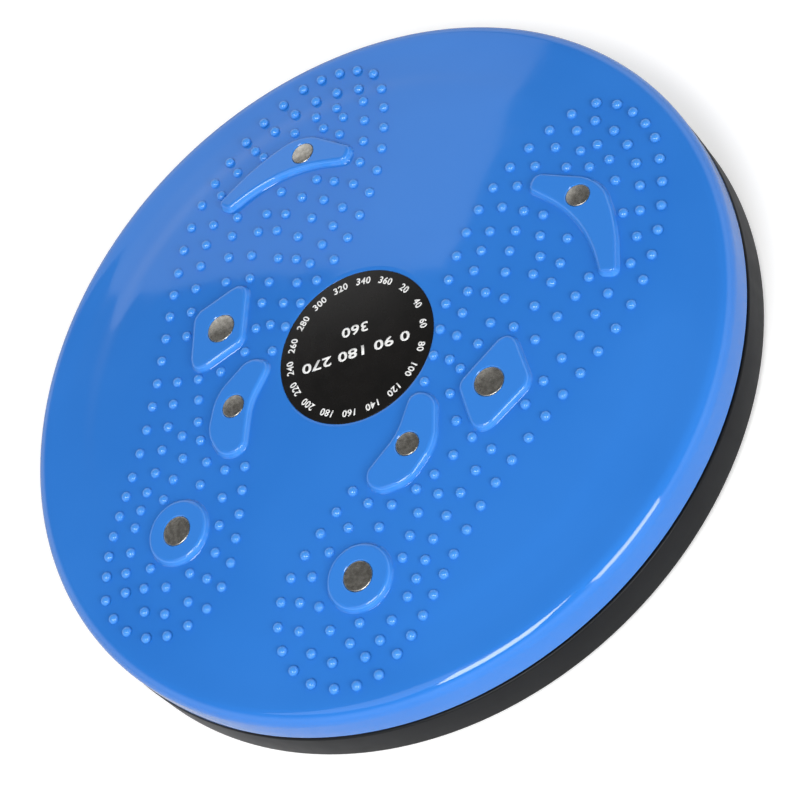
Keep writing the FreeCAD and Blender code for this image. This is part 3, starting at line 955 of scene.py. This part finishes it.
# Floor, light and camera
def floor_paper():
    """Matt white paper that takes the shadow. For the camera alone it gets whiter away from the disc."""
    paper_white = 0.80
    whitening_distances = (0.5, 2.0)
    glow_levels = (0.42, 1.0)
    paper = bpy.data.materials.new("white_paper_floor")
    paper.use_nodes = True
    tree = paper.node_tree
    nodes, links = tree.nodes, tree.links
    nodes.clear()
    out = nodes.new("ShaderNodeOutputMaterial")
    matt = nodes.new("ShaderNodeBsdfDiffuse")
    matt.inputs["Color"].default_value = (paper_white, paper_white, paper_white, 1)
    glow = nodes.new("ShaderNodeEmission")
    glow.inputs["Color"].default_value = (1, 1, 1, 1)
    place = nodes.new("ShaderNodeTexCoord")
    outward = nodes.new("ShaderNodeVectorMath")
    outward.operation = "LENGTH"
    links.new(place.outputs["Object"], outward.inputs[0])
    whiter = mapped(tree, outward.outputs["Value"], whitening_distances, glow_levels, "SMOOTHSTEP")
    rays = nodes.new("ShaderNodeLightPath")
    level = nodes.new("ShaderNodeMath")
    level.operation = "MULTIPLY"
    links.new(rays.outputs["Is Camera Ray"], level.inputs[0])
    links.new(whiter, level.inputs[1])
    links.new(level.outputs[0], glow.inputs["Strength"])
    both = nodes.new("ShaderNodeAddShader")
    links.new(matt.outputs[0], both.inputs[0])
    links.new(glow.outputs[0], both.inputs[1])
    links.new(both.outputs[0], out.inputs["Surface"])
    return paper


def studio_world():
    """White all round the horizon and dimmer overhead."""
    dimming_heights = (0.30, 0.60)
    sky_levels = (1.0, 0.15)
    world = bpy.data.worlds.new("studio")
    world.use_nodes = True
    tree = world.node_tree
    sky = tree.nodes["Background"]
    sky.inputs["Color"].default_value = (1, 1, 1, 1)
    direction = tree.nodes.new("ShaderNodeTexCoord")
    parts = tree.nodes.new("ShaderNodeSeparateXYZ")
    tree.links.new(direction.outputs["Generated"], parts.inputs["Vector"])
    level = mapped(tree, parts.outputs["Z"], dimming_heights, sky_levels, "SMOOTHSTEP")
    tree.links.new(level, sky.inputs["Strength"])
    return world


def softbox(name, azimuth, elevation, distance, width, height, power, turn=0):
    """An area lamp that faces the disc: degrees, metres and watts, turned about its own axis."""
    a, e = math.radians(azimuth), math.radians(elevation)
    place = Vector((math.cos(a) * math.cos(e), math.sin(a) * math.cos(e), math.sin(e))) * distance
    bpy.ops.object.light_add(type="AREA", location=place)
    lamp = bpy.context.object
    lamp.name = name
    aim = (-place).to_track_quat("-Z", "Y") @ Quaternion((0, 0, 1), math.radians(turn))
    lamp.rotation_euler = aim.to_euler()
    lamp.data.shape = "RECTANGLE"
    lamp.data.size = width
    lamp.data.size_y = height
    lamp.data.energy = power


# The new pieces and their finishes
plate_moulding = make_plate()
base_moulding = make_base()
label_disc = make_label_disc()
label_marks = make_label_marks()
magnets = [
    pair for name, (place_shares, diameter, length, corners) in pad_shapes.items()
    for pair in magnet_pair(name, place_shares, diameter)
]
feet = make_feet()

blue, black = blue_moulding(), black_moulding()
film, ink = label_film(), label_ink()
nickel, rubber = nickel_plating(), foot_rubber()
steel, polished, natural = bright_steel(), ball_steel(), acetal()

# Each new piece with its finish, its body, its slot and the nodes that it stands for
for piece, material, body, slot, nodes in [
    (plate_moulding, blue, "plate", "plate_plastic", ["top_plate"]),
    (base_moulding, black, "base", "base_plastic", ["base_shell"]),
    (label_disc, film, "plate", "label_film", ["centre_label"]),
    (label_marks, ink, "plate", "label_film", []),
    *[(disc, nickel, "plate", "magnet_plating", [node]) for disc, node in magnets],
    *[(foot, rubber, "base", "foot_rubber", [node]) for foot, node in feet],
]:
    dress(piece, material)
    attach(piece, body)
    if nodes:
        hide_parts(*nodes)

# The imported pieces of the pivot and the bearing
for node, material in {
    "flanged_bush": natural, "thrust_washer": natural, "ball_cage": natural,
    "spacer_sleeve": steel, "upper_washer": steel, "lower_washer": steel, "pivot_bolt": steel,
    "pivot_nut": steel, "bearing_balls": polished,
}.items():
    dress(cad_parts[node], material)

# The studio round the disc
floor_size = 12
floor_z = -0.05
bpy.ops.object.select_all(action="DESELECT")
bpy.ops.mesh.primitive_plane_add(size=floor_size)
floor = started("floor")
floor.location.z = floor_z * mm
dress(floor, floor_paper())

bpy.context.scene.world = studio_world()
softbox("far_softbox", 146, 33, distance=1.6, width=0.75, height=0.60, power=0.88, turn=-48)
softbox("low_key_softbox", -13.6, 29, distance=3.0, width=1.20, height=1.20, power=36.0)
softbox("high_key_softbox", -62.8, 56, distance=3.0, width=1.20, height=1.20, power=45.0)
softbox("left_fill_softbox", 250, 60, distance=3.0, width=1.60, height=1.60, power=7.5)

camera_place = (0.59233, -0.29116, 0.77976)
camera_angles = (30.570, 27.625, 25.913)
camera_lens = 141.85
camera_sensor = 36
bpy.ops.object.camera_add(location=camera_place, rotation=[math.radians(angle) for angle in camera_angles])
camera = bpy.context.object
camera.name = "camera"
camera.data.sensor_width = camera_sensor
camera.data.lens = camera_lens
bpy.context.scene.camera = camera
bpy.context.scene.view_settings.view_transform = "Standard"
